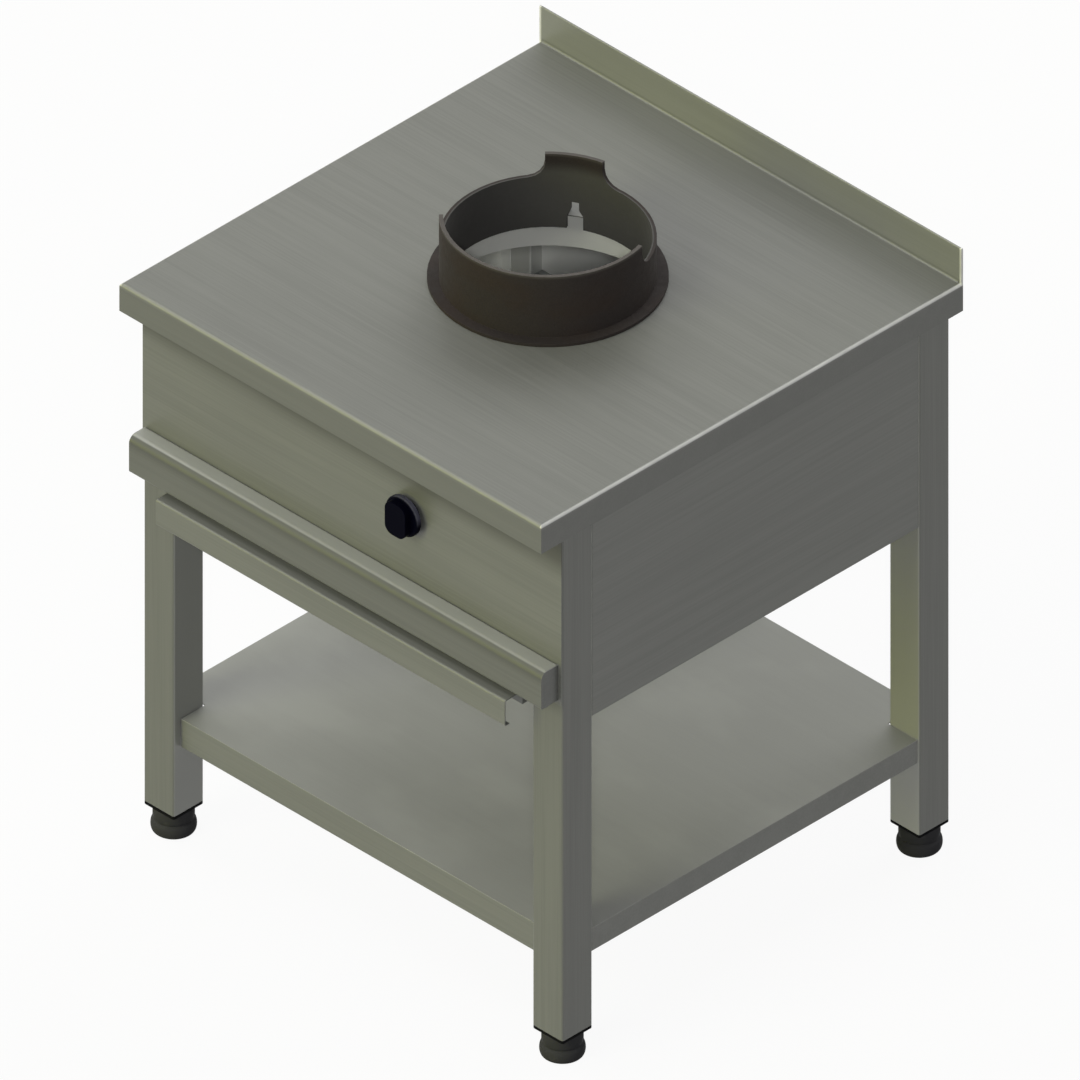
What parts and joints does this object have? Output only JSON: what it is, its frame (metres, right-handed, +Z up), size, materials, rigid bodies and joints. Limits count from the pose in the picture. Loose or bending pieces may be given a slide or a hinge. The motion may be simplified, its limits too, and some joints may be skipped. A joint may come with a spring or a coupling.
{
  "type": "wok range",
  "caption": "Free-standing stainless-steel gas wok range with a cast-iron wok ring, front guard rail, pull-out drip tray, open lower shelf and levelling feet.",
  "frame": {"origin": "on the floor, under the middle of the worktop's footprint", "axes": "+Z up, -Y to the front where the knob and the guard rail are, +X to the right seen from the front"},
  "size_m": [0.7, 0.7, 0.891],
  "materials": {
    "stainless_sheet": "satin, brushed",
    "stainless_tube": "satin, brushed along its length",
    "zinc_plated_steel": "dull zinc plate",
    "cast_iron": "black, sand-cast grain",
    "brass": "machined",
    "copper_pipe": "drawn copper",
    "black_plastic": "moulded, half gloss",
    "foot_plastic": "moulded, matt"
  },
  "bodies": {
    "chassis": {"worktop": "stainless_sheet", "hole_collar": "stainless_sheet", "front_apron": "stainless_sheet", "side_panel_left": "stainless_sheet", "side_panel_right": "stainless_sheet", "rear_panel": "stainless_sheet", "guard_rail": "stainless_sheet", "shelf": "stainless_sheet", "shelf_stiffener": "stainless_sheet", "leg_front_left": "stainless_tube", "leg_front_right": "stainless_tube", "leg_rear_left": "stainless_tube", "leg_rear_right": "stainless_tube", "frame_rail_left": "stainless_tube", "frame_rail_right": "stainless_tube", "frame_rail_front": "stainless_tube", "frame_rail_rear": "stainless_tube", "shelf_bracket_front_left": "zinc_plated_steel", "shelf_bracket_front_right": "zinc_plated_steel", "shelf_bracket_rear_left": "zinc_plated_steel", "shelf_bracket_rear_right": "zinc_plated_steel", "tray_runner_left": "zinc_plated_steel", "tray_runner_right": "zinc_plated_steel", "mixing_tube": "zinc_plated_steel", "burner_strap_front": "zinc_plated_steel", "burner_strap_rear": "zinc_plated_steel", "valve_bracket": "zinc_plated_steel", "insert_front_left": "black_plastic", "insert_front_right": "black_plastic", "insert_rear_left": "black_plastic", "insert_rear_right": "black_plastic", "knob_bezel": "black_plastic", "burner_body": "cast_iron", "injector": "brass", "injector_elbow": "brass", "gas_valve": "brass", "gas_inlet": "brass", "pilot_burner": "brass", "supply_pipe": "copper_pipe", "feed_pipe": "copper_pipe", "pilot_pipe": "copper_pipe", "thermocouple": "copper_pipe"},
    "drip_tray": {"drip_tray": "stainless_sheet"},
    "wok_ring": {"wok_ring": "cast_iron"},
    "burner_cap": {"burner_cap": "cast_iron"},
    "air_shutter": {"air_shutter": "zinc_plated_steel"},
    "push_cup": {"push_cup": "brass"},
    "knob": {"knob": "black_plastic", "valve_spindle": "zinc_plated_steel"},
    "foot_front_left": {"foot_pad_front_left": "foot_plastic", "foot_stem_front_left": "zinc_plated_steel"},
    "foot_front_right": {"foot_pad_front_right": "foot_plastic", "foot_stem_front_right": "zinc_plated_steel"},
    "foot_rear_left": {"foot_pad_rear_left": "foot_plastic", "foot_stem_rear_left": "zinc_plated_steel"},
    "foot_rear_right": {"foot_pad_rear_right": "foot_plastic", "foot_stem_rear_right": "zinc_plated_steel"}
  },
  "joints": [
    {"name": "drip_tray_slide", "type": "slide", "parent": "chassis", "child": "drip_tray", "axis": [0, -1, 0], "range_m": [0, 0.45]},
    {"name": "wok_ring_lift", "type": "slide", "parent": "chassis", "child": "wok_ring", "axis": [0, 0, 1], "range_m": [0, 0.15]},
    {"name": "burner_cap_lift", "type": "slide", "parent": "chassis", "child": "burner_cap", "axis": [0, 0, 1], "range_m": [0, 0.12]},
    {"name": "air_shutter_turn", "type": "hinge", "parent": "chassis", "child": "air_shutter", "pos_m": [-0.002, -0.206, 0.709], "axis": [0, 1, 0], "range_deg": [0, 60]},
    {"name": "knob_push", "type": "slide", "parent": "chassis", "child": "push_cup", "axis": [0, 1, 0], "range_m": [0, 0.004], "stiffness_N_per_m": 800, "springref_m": -0.003},
    {"name": "knob_turn", "type": "hinge", "parent": "push_cup", "child": "knob", "pos_m": [0.094, -0.33, 0.674], "axis": [0, -1, 0], "range_deg": [0, 210]},
    {"name": "foot_front_left_adjust", "type": "slide", "parent": "chassis", "child": "foot_front_left", "axis": [0, 0, -1], "range_m": [0, 0.02]},
    {"name": "foot_front_right_adjust", "type": "slide", "parent": "chassis", "child": "foot_front_right", "axis": [0, 0, -1], "range_m": [0, 0.02]},
    {"name": "foot_rear_left_adjust", "type": "slide", "parent": "chassis", "child": "foot_rear_left", "axis": [0, 0, -1], "range_m": [0, 0.02]},
    {"name": "foot_rear_right_adjust", "type": "slide", "parent": "chassis", "child": "foot_rear_right", "axis": [0, 0, -1], "range_m": [0, 0.02]}
  ]
}
